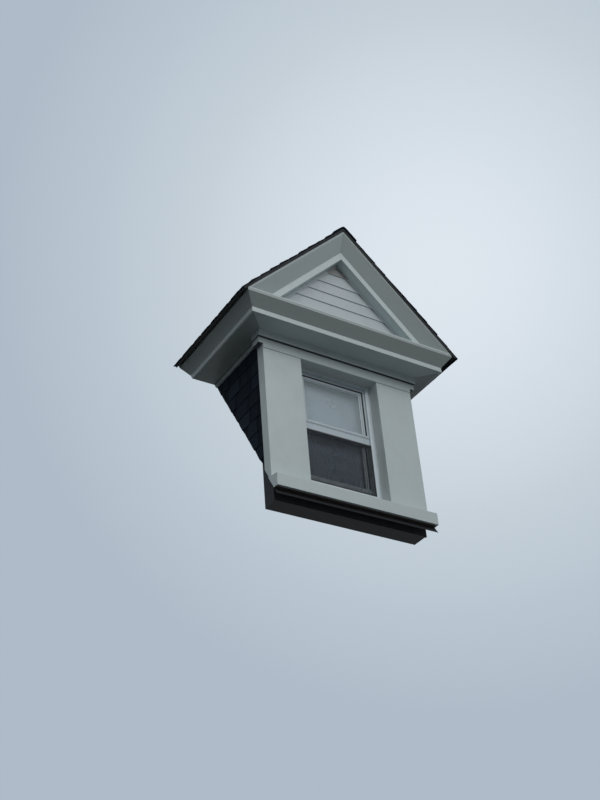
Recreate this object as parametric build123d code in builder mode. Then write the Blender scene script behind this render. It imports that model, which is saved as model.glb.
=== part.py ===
from build123d import *
import os
from math import cos, radians, sin, tan

# Pedimented gable dormer, cut to sit on one steep roof slope.
# X runs across the front, Y towards the back, Z up. The origin is the middle of the underside
# of the front wall's sole plate. Sizes are millimetres, and heights count from that underside.

# Carpentry
stud_width = 38
front_stud_depth = 140
cheek_stud_depth = 89
rafter_depth = 89
rafter_seat = 50
header_depth = 140
frame_spacing = 406
ridge_board_width = 19
ridge_board_depth = 140
sleeper_thickness = 19
sleeper_margin = 20
sheathing = 12

# Roof slopes, in degrees
main_roof_angle = 60
gable_angle = 45

# Front wall and window opening
face_width = 1500
trim_thickness = 25
return_depth = 92
opening_width = 770
opening_height = 1368
sill_bottom = 60
roof_above_sill_bottom = 72
sill_height = 108
sill_projection = 100
sill_ear = 14
sill_slope = 10
sill_riser = 72
rough_sill_top = 160
box_thickness = 19
box_depth_inside = 32

# Cornice, from the frieze up
frieze_height = 92
frieze_projection = 6
frieze_ear = 45
frieze_ear_drop = 53
groove_height = 4
bed_height = 56
bed_foot_projection = 24
bed_projection = 39
bed_ear = 53
soffit_thickness = 12
fascia_projection = 215
fascia_thickness = 19
fascia_height = 47
crown_run = 77
crown_rise = 92
nose_height = 36
cap_thickness = 12
cap_slope = 5
rake_fascia_height = 56
side_trim_thickness = 22
side_trim_height = 44

# Roof covering and cladding
deck_thickness = 12
shingle_thickness = 8
eave_deck_overhang = 35
rake_deck_overhang = 5
eave_shingle_overhang = 25
rake_shingle_overhang = 12
ridge_cap_width = 150
drip_edge_thickness = 2
drip_edge_drop = 10
flashing_thickness = 2
cladding_thickness = 10
siding_setback = 87
lap_line = 2022
lap_exposure = 120.5
lap_butt = 16
lap_top = 7

# Window unit
reveal_depth = 112
frame_depth = 78
frame_sill_height = 50
frame_head_height = 25
frame_jamb_width = 48
rib_height = 8
rib_thickness = 3
sash_thickness = 26
sash_play = 1
pocket_play = 0.5
stile_width = 58.5
top_rail = 71.5
upper_meeting_rail = 94
lower_meeting_rail = 60
meeting_lap = 64
bottom_rail = 81
meeting_height = 833
seam_margin = 28.5
seam_width = 12
seam_depth = 6
lip_height = 21
lip_groove = 19
lip_groove_depth = 4
glass_thickness = 3
glass_bite = 8
glass_setback = 11
screen_thickness = 5
screen_bar = 18
screen_top_bar = 14
screen_gap = 8
mesh_thickness = 1
blind_rail = 25
blind_rail_depth = 16
blind_bottom = 320
slat_pitch = 21
slat_lean = 7
slat_thickness = 1.2

# Places that follow from the sizes above
face_half = face_width / 2
opening_half = opening_width / 2
front_in = front_stud_depth / 2
front_out = -front_in
sheathing_y = front_out - sheathing
face_y = sheathing_y - trim_thickness
back_of_return = face_y + return_depth
sheathing_x = face_half - trim_thickness
cheek_out = sheathing_x - sheathing
cheek_in = cheek_out - cheek_stud_depth
box_half = opening_half + box_thickness
opening_top = sill_bottom + opening_height
box_top = opening_top + box_thickness
frieze_top = opening_top + frieze_height
bed_bottom = frieze_top + groove_height
soffit_z = bed_bottom + bed_height
soffit_top = soffit_z + soffit_thickness
fascia_top = soffit_z + fascia_height
fascia_back = fascia_projection - fascia_thickness
crown_out = fascia_projection + crown_run
crown_back = crown_out - fascia_thickness
nose_bottom = fascia_top + crown_rise
nose_top = nose_bottom + nose_height
slope = tan(radians(gable_angle))
slope_cos = cos(radians(gable_angle))
ridge_z = nose_top + (face_half + crown_out) * slope
rafter_drop = rafter_depth / slope_cos
plate_top = ridge_z - cheek_out * slope - rafter_drop + rafter_seat * slope
plate_bottom = plate_top - 2 * stud_width
steep = tan(radians(main_roof_angle))
roof_foot_z = sill_bottom + roof_above_sill_bottom


def roof_z(y):
    """Height of the main roof slope at a place y."""
    return roof_foot_z + (y - face_y) * steep


def roof_y(z):
    """Place where the main roof slope reaches a height."""
    return face_y + (z - roof_foot_z) / steep


def under_roof(x):
    """Height of the rafters' top edge, which carries the deck."""
    return ridge_z - abs(x) * slope


def cap_z(y):
    """Height of the pediment cap's top at a place y."""
    return nose_top + (y - face_y + crown_out) * cap_rise


back_end = roof_y(ridge_z) + ridge_cap_width
roof_normal = (0, -sin(radians(main_roof_angle)), cos(radians(main_roof_angle)))
main_roof = Plane(origin=(0, face_y, roof_foot_z), x_dir=(1, 0, 0), z_dir=roof_normal)
left_slope = Plane(origin=(0, 0, ridge_z), x_dir=(0, 1, 0), z_dir=(-slope, 0, 1))
right_slope = Plane(origin=(0, 0, ridge_z), x_dir=(0, 1, 0), z_dir=(slope, 0, 1))
left_mitre = Plane(origin=(-face_half, face_y, 0), x_dir=(0, 0, 1), z_dir=(-1, 1, 0))
right_mitre = Plane(origin=(face_half, face_y, 0), x_dir=(0, 0, 1), z_dir=(1, 1, 0))
cap_rise = tan(radians(cap_slope))
cap_plane = Plane(origin=(0, face_y - crown_out, nose_top), x_dir=(1, 0, 0), z_dir=(0, -cap_rise, 1))
rake_top = (fascia_top - ridge_z + (face_half + fascia_projection) * slope) * slope_cos
rake_bottom = rake_top - rake_fascia_height
pediment_peak = ridge_z + rake_bottom / slope_cos
siding_back = face_y - fascia_projection + siding_setback + lap_butt
sill_rise = tan(radians(sill_slope))
sill_front = face_y - sill_projection
sill_front_top = sill_bottom + sill_height
sill_plane = Plane(origin=(0, sill_front, sill_front_top), x_dir=(1, 0, 0), z_dir=(0, -sill_rise, 1))
frame_y = face_y + reveal_depth
frame_back = frame_y + frame_depth
box_back = front_in + box_depth_inside
sill_top = sill_front_top + (frame_y - sill_front) * sill_rise
frame_foot = sill_top + sill_riser

os.makedirs("parts", exist_ok=True)


def finish(piece, name):
    """Labels a finished piece and writes its file."""
    piece.part.label = name
    export_step(piece.part, f"parts/{name}.step")


def mirrored(piece, name):
    """Makes the right-hand twin of a left-hand piece."""
    with BuildPart() as twin:
        mirror(piece.part, about=Plane.YZ)
    finish(twin, name)


def block(x_low, x_high, y_low, y_high, z_low, z_high, mode=Mode.ADD):
    """A squared timber or board between its lowest and highest corners."""
    with Locations((x_low, y_low, z_low)):
        Box(
            x_high - x_low,
            y_high - y_low,
            z_high - z_low,
            align=(Align.MIN, Align.MIN, Align.MIN),
            mode=mode,
        )


# Front wall framing
with BuildPart() as front_sole_plate:
    block(-cheek_out, cheek_out, front_out, front_in, 0, stud_width)
finish(front_sole_plate, "front_sole_plate")

trimmer_out = box_half + 2 * stud_width
with BuildPart() as front_studs:
    for side in (-1, 1):
        corner = sorted((side * cheek_out, side * (cheek_out - stud_width)))
        block(*corner, front_out, front_in, stud_width, plate_bottom)
        king = sorted((side * trimmer_out, side * (trimmer_out - stud_width)))
        block(*king, front_out, front_in, stud_width, plate_bottom)
        jack = sorted((side * box_half, side * (box_half + stud_width)))
        block(*jack, front_out, front_in, stud_width, box_top)
finish(front_studs, "front_studs")

header_half = box_half + stud_width
header_top = box_top + header_depth
with BuildPart() as window_header:
    block(-header_half, header_half, front_out, front_in, box_top, header_top)
finish(window_header, "window_header")

rough_sill_bottom = rough_sill_top - stud_width
with BuildPart() as rough_sill:
    block(-box_half, box_half, front_out, front_in, rough_sill_bottom, rough_sill_top)
finish(rough_sill, "rough_sill")

with BuildPart() as front_top_plate:
    block(-cheek_in, cheek_in, front_out, front_in, plate_bottom, plate_top)
finish(front_top_plate, "front_top_plate")

short_stud_places = [-box_half + stud_width / 2, 0, box_half - stud_width / 2]
with BuildPart() as cripple_studs:
    for place in short_stud_places:
        left = place - stud_width / 2
        block(left, left + stud_width, front_out, front_in, stud_width, rough_sill_bottom)
        block(left, left + stud_width, front_out, front_in, header_top, plate_bottom)
finish(cripple_studs, "cripple_studs")

# Short studs over the top plate, cut to the underside of the end rafters
with BuildPart() as gable_studs:
    for place in (short_stud_places[0], short_stud_places[-1]):
        left = place - stud_width / 2
        block(left, left + stud_width, front_out, front_out + stud_width, plate_top, ridge_z)
    split(bisect_by=left_slope.offset(-rafter_depth), keep=Keep.BOTTOM)
    split(bisect_by=right_slope.offset(-rafter_depth), keep=Keep.BOTTOM)
finish(gable_studs, "gable_studs")

# Cheek walls, standing on plates that follow the main roof
with BuildPart() as cheek_sole_plates:
    for side in (-1, 1):
        width = sorted((side * cheek_in, side * cheek_out))
        block(*width, front_in, back_end, stud_width, plate_bottom)
    split(bisect_by=main_roof, keep=Keep.TOP)
    split(bisect_by=main_roof.offset(stud_width), keep=Keep.BOTTOM)
finish(cheek_sole_plates, "cheek_sole_plates")

frame_places = [front_out + stud_width / 2]
while roof_z(frame_places[-1] + frame_spacing) < ridge_z - rafter_drop:
    frame_places.append(frame_places[-1] + frame_spacing)
with BuildPart() as cheek_studs:
    for side in (-1, 1):
        width = sorted((side * cheek_in, side * cheek_out))
        for place in frame_places[1:]:
            if roof_z(place + stud_width / 2) + stud_width / cos(radians(main_roof_angle)) < plate_bottom:
                front = place - stud_width / 2
                block(*width, front, front + stud_width, stud_width, plate_bottom)
    split(bisect_by=main_roof.offset(stud_width), keep=Keep.TOP)
finish(cheek_studs, "cheek_studs")

with BuildPart() as cheek_top_plates:
    for side in (-1, 1):
        width = sorted((side * cheek_in, side * cheek_out))
        block(*width, front_out, back_end, plate_bottom, plate_top)
    split(bisect_by=main_roof.offset(sleeper_thickness), keep=Keep.TOP)
finish(cheek_top_plates, "cheek_top_plates")

# Rafters with a seat cut on the plate, and jack rafters that land on the valley sleepers
ridge_half = ridge_board_width / 2
tail_x = face_half + fascia_back
rafter_outline = [
    (-ridge_half, under_roof(ridge_half)),
    (-tail_x, under_roof(tail_x)),
    (-tail_x, under_roof(tail_x) - rafter_drop),
    (-cheek_out, under_roof(cheek_out) - rafter_drop),
    (-cheek_out, plate_top),
    (-cheek_out + rafter_seat, plate_top),
    (-ridge_half, under_roof(ridge_half) - rafter_drop),
]
with BuildPart() as rafters:
    for place in frame_places:
        with BuildSketch(Plane.XZ.offset(-place)):
            Polygon(*rafter_outline, align=None)
        extrude(amount=stud_width / 2, both=True)
    split(bisect_by=main_roof.offset(sleeper_thickness), keep=Keep.TOP)
    mirror(about=Plane.YZ)
finish(rafters, "rafters")

ridge_board_top = under_roof(ridge_half)
with BuildPart() as ridge_board:
    block(
        -ridge_half,
        ridge_half,
        front_out,
        back_end,
        ridge_board_top - ridge_board_depth,
        ridge_board_top,
    )
    split(bisect_by=main_roof.offset(sleeper_thickness), keep=Keep.TOP)
finish(ridge_board, "ridge_board")

# Boards laid flat on the main roof along each valley, bevelled under the deck
sleeper_width = rafter_drop / sin(radians(main_roof_angle)) + sleeper_margin


def up_slope(z):
    """Distance along the main roof from the front face to a height."""
    return (z - roof_foot_z) / sin(radians(main_roof_angle))


sleeper_outline = [
    (-tail_x, up_slope(under_roof(tail_x))),
    (0, up_slope(ridge_z)),
    (0, up_slope(ridge_z) - sleeper_width),
    (-tail_x, up_slope(under_roof(tail_x)) - sleeper_width),
]
with BuildPart() as left_sleeper:
    with BuildSketch(main_roof):
        Polygon(*sleeper_outline, align=None)
    extrude(amount=sleeper_thickness)
    split(bisect_by=left_slope, keep=Keep.BOTTOM)
with BuildPart() as valley_sleepers:
    add(left_sleeper.part)
    mirror(left_sleeper.part, about=Plane.YZ)
finish(valley_sleepers, "valley_sleepers")

# Sheathing of the cheeks and of the front wall with its gable
cheek_sheathing_top = under_roof(sheathing_x) - rafter_drop
with BuildPart() as cheek_sheathing:
    for side in (-1, 1):
        width = sorted((side * cheek_out, side * sheathing_x))
        block(*width, front_out, back_end, stud_width, cheek_sheathing_top)
    split(bisect_by=main_roof, keep=Keep.TOP)
    add(valley_sleepers.part, mode=Mode.SUBTRACT)
finish(cheek_sheathing, "cheek_sheathing")

with BuildPart() as front_sheathing_sides:
    for side in (-1, 1):
        width = sorted((side * box_half, side * sheathing_x))
        block(*width, sheathing_y, front_out, 0, ridge_z)
    split(bisect_by=left_slope, keep=Keep.BOTTOM)
    split(bisect_by=right_slope, keep=Keep.BOTTOM)
finish(front_sheathing_sides, "front_sheathing_sides")

with BuildPart() as pediment_backing:
    block(-face_half, face_half, siding_back, siding_back + sheathing, nose_top, ridge_z)
    split(bisect_by=left_slope.offset(rake_bottom), keep=Keep.BOTTOM)
    split(bisect_by=right_slope.offset(rake_bottom), keep=Keep.BOTTOM)
    split(bisect_by=cap_plane, keep=Keep.TOP)

with BuildPart() as front_sheathing_middle:
    block(-box_half, box_half, sheathing_y, front_out, 0, rough_sill_top)
    block(-box_half, box_half, sheathing_y, front_out, box_top, ridge_z + 1)
    split(bisect_by=left_slope, keep=Keep.BOTTOM)
    split(bisect_by=right_slope, keep=Keep.BOTTOM)
    add(pediment_backing.part)
finish(front_sheathing_middle, "front_sheathing_middle")

# Roof deck and shingle layer, cut on the main roof along the valleys


def roof_layer(bottom, thickness, eave_x, front_out_by):
    """Left half of a layer laid parallel to the rafters, from the ridge to the eave."""
    low = bottom / slope_cos
    high = (bottom + thickness) / slope_cos
    normal_x = -thickness * sin(radians(gable_angle))
    normal_z = thickness * slope_cos
    eave_z = under_roof(eave_x) + low
    outline = [
        (0, ridge_z + low),
        (0, ridge_z + high),
        (-eave_x + normal_x, eave_z + normal_z),
        (-eave_x, eave_z),
    ]
    with BuildPart() as layer:
        with BuildSketch(Plane.XZ.offset(-back_end)):
            Polygon(*outline, align=None)
        extrude(amount=back_end - face_y + front_out_by)
        split(bisect_by=main_roof, keep=Keep.TOP)
    return layer


deck_edge_x = face_half + crown_out + eave_deck_overhang
deck_front = crown_out + rake_deck_overhang
left_roof_deck = roof_layer(0, deck_thickness, deck_edge_x, deck_front)
finish(left_roof_deck, "left_roof_deck")
mirrored(left_roof_deck, "right_roof_deck")

shingle_edge_x = deck_edge_x + eave_shingle_overhang
shingle_front = deck_front + rake_shingle_overhang
left_roof_shingles = roof_layer(deck_thickness, shingle_thickness, shingle_edge_x, shingle_front)
finish(left_roof_shingles, "left_roof_shingles")
mirrored(left_roof_shingles, "right_roof_shingles")

# Metal strips that cover the deck's edges under the shingles and drip clear of the crown
peak_low = ridge_z - drip_edge_drop / slope_cos
peak_high = ridge_z + deck_thickness / slope_cos
eave_point = Vector(-deck_edge_x, under_roof(deck_edge_x))
slope_normal = Vector(-sin(radians(gable_angle)), slope_cos)
down_slope = Vector(-slope_cos, -sin(radians(gable_angle)))
strip_low = eave_point - slope_normal * drip_edge_drop
strip_high = eave_point + slope_normal * deck_thickness
with BuildPart() as left_rake_strip:
    with BuildSketch(Plane.XZ.offset(deck_front - face_y)):
        Polygon((0, peak_low), (0, peak_high), strip_high, strip_low, align=None)
    extrude(amount=drip_edge_thickness)
with BuildPart() as rake_drip_edges:
    add(left_rake_strip.part)
    mirror(left_rake_strip.part, about=Plane.YZ)
finish(rake_drip_edges, "rake_drip_edges")

drip_offset = down_slope * drip_edge_thickness
with BuildPart() as eave_drip_edges:
    with BuildSketch(Plane.XZ.offset(-back_end)):
        Polygon(strip_low, strip_high, strip_high + drip_offset, strip_low + drip_offset, align=None)
    extrude(amount=back_end - face_y + deck_front + drip_edge_thickness)
    split(bisect_by=main_roof, keep=Keep.TOP)
    mirror(about=Plane.YZ)
finish(eave_drip_edges, "eave_drip_edges")

covering = deck_thickness + shingle_thickness
left_cap = roof_layer(covering, shingle_thickness, ridge_cap_width * slope_cos, shingle_front)
with BuildPart() as ridge_cap:
    add(left_cap.part)
    mirror(left_cap.part, about=Plane.YZ)
finish(ridge_cap, "ridge_cap")

# Pilasters with their returns, standing on the sill and cut to the roof at the side
pilaster_plan = [
    (-opening_half, face_y),
    (-face_half, face_y),
    (-face_half, back_of_return),
    (-sheathing_x, back_of_return),
    (-sheathing_x, sheathing_y),
    (-opening_half, sheathing_y),
]
with BuildPart() as left_pilaster:
    with BuildSketch(Plane.XY.offset(sill_bottom)):
        Polygon(*pilaster_plan, align=None)
    extrude(amount=soffit_z - sill_bottom)
    split(bisect_by=sill_plane, keep=Keep.TOP)
    split(bisect_by=main_roof, keep=Keep.TOP)
finish(left_pilaster, "left_pilaster")
mirrored(left_pilaster, "right_pilaster")

with BuildPart() as head_casing:
    block(-opening_half, opening_half, face_y, sheathing_y, opening_top, soffit_z)
finish(head_casing, "head_casing")

# Frieze board with an ear at each end that wraps the corner, and the bed mould round both corners
frieze_front = face_y - frieze_projection
ear_half = face_half + frieze_ear
ear_bottom = frieze_top - frieze_ear_drop
with BuildPart() as frieze:
    block(-ear_half, ear_half, frieze_front, back_of_return, ear_bottom, frieze_top)
    block(-face_half, face_half, face_y, back_of_return, ear_bottom, frieze_top, mode=Mode.SUBTRACT)
    block(-face_half, face_half, frieze_front, face_y, opening_top, frieze_top)
finish(frieze, "frieze")

with BuildPart() as bed_mould:
    for height, out in ((bed_bottom, bed_foot_projection), (soffit_z, bed_projection)):
        with BuildSketch(Plane.XY.offset(height)):
            depth = back_of_return - face_y + out
            with Locations((0, back_of_return - depth / 2)):
                Rectangle(2 * (face_half + bed_ear), depth)
    loft()
    block(-face_half, face_half, face_y, back_of_return, bed_bottom, soffit_z, mode=Mode.SUBTRACT)
finish(bed_mould, "bed_mould")

# Level cornice: each section is a list of (distance out from the face, height) points
soffit_section = [
    (-trim_thickness, soffit_z),
    (fascia_back, soffit_z),
    (fascia_back, soffit_top),
    (-trim_thickness, soffit_top),
]
fascia_section = [
    (fascia_back, soffit_z),
    (fascia_projection, soffit_z),
    (fascia_projection, fascia_top),
    (fascia_back, fascia_top),
]
crown_section = [
    (fascia_projection, fascia_top),
    (crown_out, nose_bottom),
    (crown_out, nose_top),
    (crown_back, nose_top + fascia_thickness * slope),
    (crown_back, nose_bottom),
    (fascia_back, fascia_top),
]
front_crown_section = [
    (fascia_projection, fascia_top),
    (crown_out, nose_bottom),
    (crown_out, nose_top - cap_thickness),
    (crown_back, nose_top - cap_thickness + fascia_thickness * cap_rise),
    (crown_back, nose_bottom),
    (fascia_back, fascia_top),
]
cap_back_z = nose_top + (crown_out + trim_thickness) * cap_rise
cap_section = [
    (crown_out, nose_top),
    (-trim_thickness, cap_back_z),
    (-trim_thickness, cap_back_z - cap_thickness),
    (crown_out, nose_top - cap_thickness),
]


def front_run(section):
    """A cornice member across the front, mitred at both corners."""
    reach = face_half + crown_out
    with BuildPart() as run:
        with BuildSketch(Plane.YZ.offset(-reach)):
            Polygon(*[(face_y - out, z) for out, z in section], align=None)
        extrude(amount=2 * reach)
        split(bisect_by=left_mitre, keep=Keep.BOTTOM)
        split(bisect_by=right_mitre, keep=Keep.BOTTOM)
    return run


def left_run(section):
    """The same member along the left eave, from the mitre back to the main roof."""
    with BuildPart() as run:
        with BuildSketch(Plane.XZ.offset(-back_end)):
            Polygon(*[(-face_half - out, z) for out, z in section], align=None)
        extrude(amount=back_end - face_y + crown_out)
        split(bisect_by=left_mitre, keep=Keep.TOP)
        split(bisect_by=main_roof, keep=Keep.TOP)
    return run


for member, front_section, side_section in (
    ("soffit", soffit_section, soffit_section),
    ("fascia", fascia_section, fascia_section),
    ("crown", front_crown_section, crown_section),
):
    finish(front_run(front_section), f"front_{member}")
    left_member = left_run(side_section)
    finish(left_member, f"left_{member}")
    mirrored(left_member, f"right_{member}")
finish(front_run(cap_section), "pediment_cap")

# Raking cornice: the crown's section is raked so that it meets the level one on the mitre
rake_plane = Plane(
    origin=(0, face_y, ridge_z),
    x_dir=(0, -1, 0),
    z_dir=(-cos(radians(gable_angle)), 0, -sin(radians(gable_angle))),
)
rake_length = (face_half + crown_out) / slope_cos


def raked(point):
    """Moves a point of the level section to its place on the slope, square to the rafters."""
    out, z = point
    return out, (z - ridge_z + (face_half + out) * slope) * slope_cos


rake_crown_section = [raked(point) for point in crown_section]
rake_top_back = raked((fascia_back, fascia_top))[1]
rake_fascia_section = [
    (fascia_projection, rake_top),
    (fascia_back, rake_top_back),
    (fascia_back, rake_bottom),
    (fascia_projection, rake_bottom),
]
rake_soffit_section = [
    (-trim_thickness, rake_bottom),
    (fascia_back, rake_bottom),
    (fascia_back, rake_bottom + soffit_thickness),
    (-trim_thickness, rake_bottom + soffit_thickness),
]


def left_rake(section):
    """A member of the left rake, plumb cut at the peak and landing on the pediment cap."""
    with BuildPart() as run:
        with BuildSketch(rake_plane):
            Polygon(*section, align=None)
        extrude(amount=rake_length)
        split(bisect_by=Plane.YZ, keep=Keep.BOTTOM)
        split(bisect_by=cap_plane, keep=Keep.TOP)
        split(bisect_by=left_mitre, keep=Keep.BOTTOM)
    return run


for member, section in (
    ("rake_soffit", rake_soffit_section),
    ("rake_fascia", rake_fascia_section),
    ("rake_crown", rake_crown_section),
):
    left_member = left_rake(section)
    finish(left_member, f"left_{member}")
    mirrored(left_member, f"right_{member}")

# Lap siding in the pediment, standing on its cap and clipped under the rake soffits
lap_z = lap_line
while lap_z > cap_z(siding_back):
    lap_z -= lap_exposure
siding_section = [(siding_back, lap_z)]
while lap_z < pediment_peak:
    siding_section.append((siding_back - lap_butt, lap_z))
    siding_section.append((siding_back - lap_top, lap_z + lap_exposure))
    lap_z += lap_exposure
siding_section.append((siding_back, lap_z))
with BuildPart() as tympanum_siding:
    with BuildSketch(Plane.YZ.offset(-face_half)):
        Polygon(*siding_section, align=None)
    extrude(amount=face_width)
    split(bisect_by=left_slope.offset(rake_bottom), keep=Keep.BOTTOM)
    split(bisect_by=right_slope.offset(rake_bottom), keep=Keep.BOTTOM)
    split(bisect_by=cap_plane, keep=Keep.TOP)
finish(tympanum_siding, "tympanum_siding")

# Apron flashing on the main roof, from the front wall down past the foot of the sill
flashing_rise = flashing_thickness / cos(radians(main_roof_angle))
apron_section = [
    (sheathing_y, roof_z(sheathing_y)),
    (sheathing_y, roof_z(sheathing_y) + flashing_rise),
    (roof_y(-flashing_rise), 0),
    (roof_y(0), 0),
]
sill_half = face_half + sill_ear
with BuildPart() as apron_flashing:
    with BuildSketch(Plane.YZ):
        Polygon(*apron_section, align=None)
    extrude(amount=sill_half, both=True)
finish(apron_flashing, "apron_flashing")

# Window sill: a deep nose across the front with ears, and a tongue through the opening that steps
# up under the window unit
nose_section = [
    (sill_front, sill_bottom),
    (roof_y(sill_bottom - flashing_rise), sill_bottom),
    (sheathing_y, roof_z(sheathing_y) + flashing_rise),
    (sheathing_y, sill_front_top + (sheathing_y - sill_front) * sill_rise),
    (sill_front, sill_front_top),
]
tongue_section = [
    (sheathing_y, rough_sill_top),
    (box_back, rough_sill_top),
    (box_back, frame_foot),
    (frame_y, frame_foot),
    (frame_y, sill_top),
    (sheathing_y, sill_front_top + (sheathing_y - sill_front) * sill_rise),
]
with BuildPart() as sill:
    with BuildSketch(Plane.YZ):
        Polygon(*nose_section, align=None)
    extrude(amount=sill_half, both=True)
    with BuildSketch(Plane.YZ):
        Polygon(*tongue_section, align=None)
    extrude(amount=opening_half, both=True)
finish(sill, "sill")

# Old window box that lines the reveal, with the window unit set inside it
with BuildPart() as window_box:
    block(-box_half, box_half, sheathing_y, box_back, rough_sill_top, box_top)
    block(
        -opening_half,
        opening_half,
        sheathing_y,
        box_back,
        rough_sill_top,
        opening_top,
        mode=Mode.SUBTRACT,
    )
finish(window_box, "window_box")

pocket_half = opening_half - frame_jamb_width + rib_height
rib_half = pocket_half - rib_height
frame_inside_bottom = frame_foot + frame_sill_height
frame_inside_top = opening_top - frame_head_height
pocket_top = frame_inside_top + rib_height
screen_front = frame_y + rib_thickness
screen_back = screen_front + screen_gap
upper_front = screen_back + rib_thickness
upper_back = upper_front + sash_thickness + 2 * sash_play
lower_front = upper_back + rib_thickness
lower_back = lower_front + sash_thickness + 2 * sash_play
with BuildPart() as window_frame:
    block(-opening_half, opening_half, frame_y, frame_back, frame_foot, opening_top)
    block(
        -rib_half,
        rib_half,
        frame_y,
        frame_back,
        frame_inside_bottom,
        frame_inside_top,
        mode=Mode.SUBTRACT,
    )
    for pocket in (
        (screen_front, screen_back),
        (upper_front, upper_back),
        (lower_front, lower_back),
    ):
        block(
            -pocket_half,
            pocket_half,
            *pocket,
            frame_inside_bottom,
            pocket_top,
            mode=Mode.SUBTRACT,
        )
finish(window_frame, "window_frame")

sash_half = pocket_half - pocket_play
glass_half = sash_half - stile_width


def sash(front, low, high, low_rail, high_rail):
    """A glazed sash: a seam round its stiles and head, and a rebate that holds the pane from inside."""
    seam_half = sash_half - seam_margin
    seam_top = high - seam_margin - pocket_play - rib_height
    with BuildPart() as leaf:
        block(-sash_half, sash_half, front, front + sash_thickness, low, high)
        block(
            -seam_half,
            seam_half,
            front,
            front + seam_depth,
            low + low_rail,
            seam_top,
            mode=Mode.SUBTRACT,
        )
        block(
            -seam_half + seam_width,
            seam_half - seam_width,
            front,
            front + seam_depth,
            low + low_rail,
            seam_top - seam_width,
        )
        block(
            -glass_half,
            glass_half,
            front,
            front + sash_thickness,
            low + low_rail,
            high - high_rail,
            mode=Mode.SUBTRACT,
        )
        block(
            -glass_half - glass_bite,
            glass_half + glass_bite,
            front + glass_setback,
            front + sash_thickness,
            low + low_rail - glass_bite,
            high - high_rail + glass_bite,
            mode=Mode.SUBTRACT,
        )
    return leaf


def pane(front, low, high, low_rail, high_rail):
    """The pane that fills the rebate of a sash."""
    with BuildPart() as glass:
        block(
            -glass_half - glass_bite,
            glass_half + glass_bite,
            front + glass_setback,
            front + glass_setback + glass_thickness,
            low + low_rail - glass_bite,
            high - high_rail + glass_bite,
        )
    return glass


upper_sash_place = (
    upper_front + sash_play,
    meeting_height,
    pocket_top - pocket_play,
    upper_meeting_rail,
    top_rail,
)
lower_sash_place = (
    lower_front + sash_play,
    frame_inside_bottom,
    meeting_height + meeting_lap,
    bottom_rail,
    lower_meeting_rail,
)
lip_bottom = meeting_height + upper_meeting_rail - lip_height
with BuildPart() as upper_sash:
    add(sash(*upper_sash_place).part)
    block(
        -rib_half,
        rib_half,
        upper_sash_place[0],
        upper_sash_place[0] + lip_groove_depth,
        lip_bottom - lip_groove,
        lip_bottom,
        mode=Mode.SUBTRACT,
    )
finish(upper_sash, "upper_sash")
finish(sash(*lower_sash_place), "lower_sash")
finish(pane(*upper_sash_place), "upper_glass")
finish(pane(*lower_sash_place), "lower_glass")

# Half insect screen in the outer track
screen_y = screen_front + (screen_gap - screen_thickness) / 2
screen_top = meeting_height - (screen_gap - screen_thickness)
mesh_half = sash_half - screen_bar
mesh_low = frame_inside_bottom + screen_bar
mesh_high = screen_top - screen_top_bar
with BuildPart() as screen_frame:
    block(-sash_half, sash_half, screen_y, screen_y + screen_thickness, frame_inside_bottom, screen_top)
    block(
        -mesh_half,
        mesh_half,
        screen_y,
        screen_y + screen_thickness,
        mesh_low,
        mesh_high,
        mode=Mode.SUBTRACT,
    )
finish(screen_frame, "screen_frame")

mesh_y = screen_y + (screen_thickness - mesh_thickness) / 2
with BuildPart() as screen_mesh:
    block(-mesh_half, mesh_half, mesh_y, mesh_y + mesh_thickness, mesh_low, mesh_high)
finish(screen_mesh, "screen_mesh")

# Closed blind hung from the head of the box
blind_y = frame_back + (box_back - frame_back - blind_rail_depth) / 2
with BuildPart() as blind_headrail:
    block(
        -opening_half + blind_rail_depth,
        opening_half - blind_rail_depth,
        blind_y,
        blind_y + blind_rail_depth,
        opening_top - blind_rail,
        opening_top,
    )
finish(blind_headrail, "blind_headrail")

slat_count = int((opening_top - blind_rail - blind_bottom) / slat_pitch)
slat_top = opening_top - blind_rail
slat_y = blind_y + (blind_rail_depth - slat_lean) / 2
slat_back = slat_y + slat_lean + slat_thickness
slat_section = [(slat_back, slat_top)]
for slat in range(slat_count):
    z = slat_top - slat * slat_pitch
    slat_section += [(slat_y + slat_lean, z), (slat_y, z - slat_pitch)]
slat_section.append((slat_back, slat_top - slat_count * slat_pitch))
slat_half = opening_half - blind_rail_depth
with BuildPart() as blind_slats:
    with BuildSketch(Plane.YZ.offset(-slat_half)):
        Polygon(*slat_section, align=None)
    extrude(amount=2 * slat_half)
finish(blind_slats, "blind_slats")

# Shingled cheeks under a flat trim board
side_trim_top = soffit_z - groove_height
side_trim_bottom = side_trim_top - side_trim_height
with BuildPart() as left_cheek_shingles:
    block(
        -sheathing_x - cladding_thickness,
        -sheathing_x,
        back_of_return,
        back_end,
        stud_width,
        side_trim_bottom,
    )
    split(bisect_by=main_roof, keep=Keep.TOP)
finish(left_cheek_shingles, "left_cheek_shingles")
mirrored(left_cheek_shingles, "right_cheek_shingles")

with BuildPart() as side_trims:
    for side in (-1, 1):
        width = sorted((side * sheathing_x, side * (sheathing_x + side_trim_thickness)))
        block(*width, back_of_return, back_end, side_trim_bottom, side_trim_top)
    split(bisect_by=main_roof, keep=Keep.TOP)
finish(side_trims, "side_trims")
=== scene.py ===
import random
from math import atan2, cos, pi, radians, sin, sqrt, tan

import bmesh
import bpy
from mathutils import Matrix, Vector


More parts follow.
